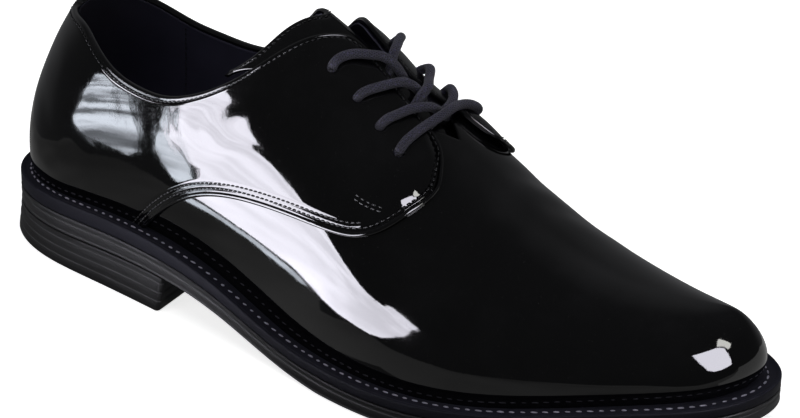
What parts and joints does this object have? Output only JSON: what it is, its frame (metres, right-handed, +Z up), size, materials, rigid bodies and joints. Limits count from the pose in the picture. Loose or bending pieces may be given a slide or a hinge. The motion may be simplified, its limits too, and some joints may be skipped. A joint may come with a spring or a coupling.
{
  "type": "oxford shoe",
  "caption": "Low lace-up dress shoe for the right foot, plain toe, open-laced quarters over the vamp, thin welted rubber sole with a low stacked heel.",
  "frame": {"origin": "the centre of the shoe's bounding box in plan, on the floor it stands on", "axes": "+X from the heel to the toe, +Y to the inner (medial) side of the foot, +Z up"},
  "size_m": [0.3023, 0.1067, 0.115],
  "materials": {
    "outsole": "satin",
    "welt": "satin",
    "heel": "satin",
    "insole": "matte",
    "upper": "patent gloss",
    "tongue": "patent gloss",
    "laces": "matte"
  },
  "bodies": {
    "root": {"outsole": "outsole", "welt": "welt", "heel": "heel", "insole": "insole", "upper": "upper", "tongue": "tongue", "laces": "laces"}
  },
  "joints": []
}
